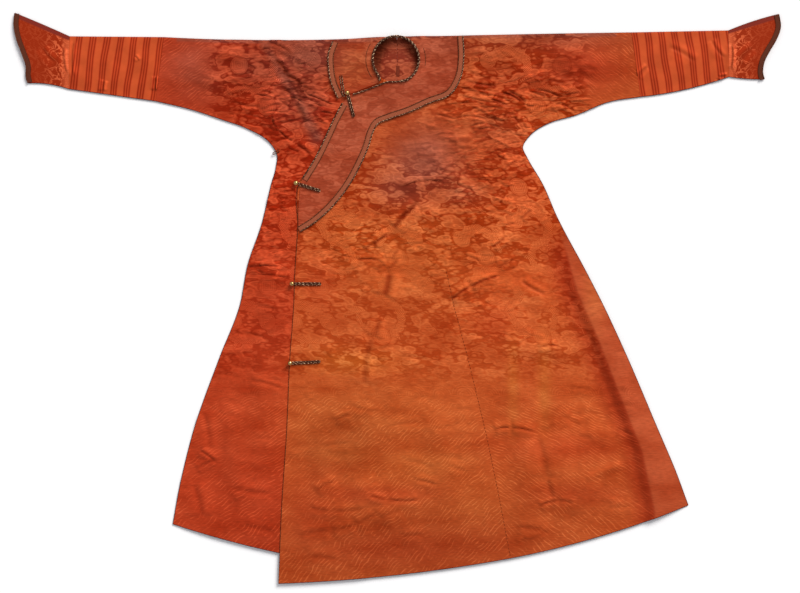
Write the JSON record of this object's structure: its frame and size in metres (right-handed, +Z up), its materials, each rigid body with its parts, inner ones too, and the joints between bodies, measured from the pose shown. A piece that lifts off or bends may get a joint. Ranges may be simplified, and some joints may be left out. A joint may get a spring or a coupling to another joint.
{
  "type": "chinese dragon robe",
  "caption": "Long silk robe with a slanting overlap, ribbed sleeve bands and hoof cuffs, laid out flat on its back.",
  "frame": {"origin": "centre of the bounding box, on the floor the robe lies on", "axes": "+X towards the wearer's left sleeve, +Y towards the shoulders, +Z up from the floor"},
  "size_m": [1.953, 1.4541, 0.0235],
  "materials": {
    "damask": "satin silk damask, orange",
    "under_damask": "satin silk damask, redder orange",
    "ribbed_silk": "ribbed silk, striped across the sleeve",
    "cuff_silk": "satin silk damask, deep red",
    "facing_silk": "satin silk damask, rust",
    "braid": "woven braid with dark edges",
    "cord": "twisted silk cord, dark with gold",
    "brass": "polished gilt brass"
  },
  "bodies": {
    "root": {"body_left": "damask", "body_right": "under_damask", "overlap": "damask", "sleeve_band_left": "ribbed_silk", "sleeve_band_right": "ribbed_silk", "cuff_left": "cuff_silk", "cuff_right": "cuff_silk", "collar_facing_over": "facing_silk", "collar_facing_under": "facing_silk", "braid_facing_over": "braid", "braid_facing_under": "braid", "braid_overlap_edge": "braid", "cuff_binding_left": "braid", "cuff_binding_right": "braid", "neck_cord_over": "cord", "neck_cord_under": "cord", "loop_collar": "cord", "loop_underarm": "cord", "neck_tape": "cord", "toggle_collar": "cord", "toggle_chest": "cord", "toggle_waist": "cord", "toggle_hip": "cord", "button_collar": "brass", "button_chest": "brass", "button_waist": "brass", "button_hip": "brass"}
  },
  "joints": []
}
